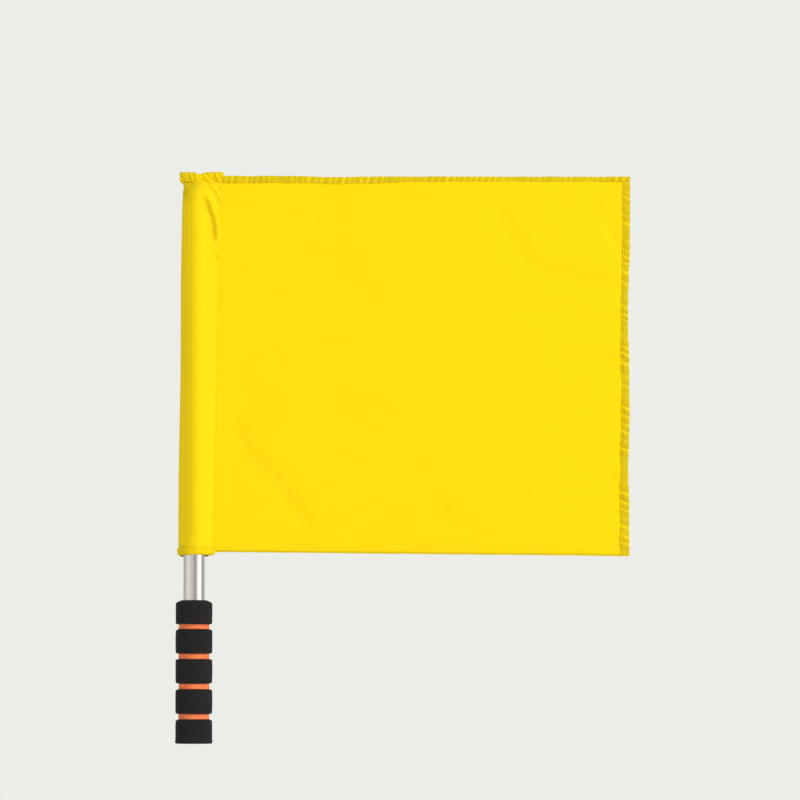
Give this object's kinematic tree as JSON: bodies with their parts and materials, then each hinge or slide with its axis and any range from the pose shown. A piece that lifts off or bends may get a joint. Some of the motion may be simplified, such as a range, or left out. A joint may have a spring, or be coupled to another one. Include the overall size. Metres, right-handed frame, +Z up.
{
  "type": "hand signal flag",
  "caption": "Flat yellow signal flag with folded hems, sewn to a cloth sleeve that turns on a straight steel tube pole with a foam hand grip.",
  "frame": {"origin": "centre of the grip's foot, on the pole's axis", "axes": "+Z up the pole, +X from the pole towards the flag's fly edge, -Y out of the side that the flag shows"},
  "size_m": [0.4542, 0.0364, 0.5719],
  "materials": {
    "stainless_steel": "polished",
    "black_plastic": "moulded satin",
    "black_foam": "matte fine-celled foam",
    "orange_foam": "matte fine-celled foam",
    "flag_cloth": "plain woven polyester with a slight sheen",
    "sewing_thread": "spun polyester thread"
  },
  "bodies": {
    "pole": {"pole_tube": "stainless_steel", "pole_top_plug": "black_plastic", "pole_bottom_plug": "black_plastic", "grip_block_1": "black_foam", "grip_block_2": "black_foam", "grip_block_3": "black_foam", "grip_block_4": "black_foam", "grip_block_5": "black_foam", "grip_ring_1": "orange_foam", "grip_ring_2": "orange_foam", "grip_ring_3": "orange_foam", "grip_ring_4": "orange_foam"},
    "sleeve": {"flag_sleeve": "flag_cloth", "sleeve_seam_thread": "sewing_thread", "sleeve_closing_thread": "sewing_thread", "sleeve_bottom_thread": "sewing_thread"},
    "panel": {"flag_panel": "flag_cloth", "top_hem_thread": "sewing_thread", "bottom_hem_thread": "sewing_thread", "fly_hem_thread": "sewing_thread"}
  },
  "joints": [
    {"name": "flag_swivel", "type": "hinge", "parent": "pole", "child": "sleeve", "pos_m": [0, 0, 0.38], "axis": [0, 0, 1], "continuous": true},
    {"name": "seam_fold", "type": "hinge", "parent": "sleeve", "child": "panel", "pos_m": [0.0212, 0, 0.1876], "axis": [0.0195, 0, 0.9998], "range_deg": [-120, 120]}
  ]
}
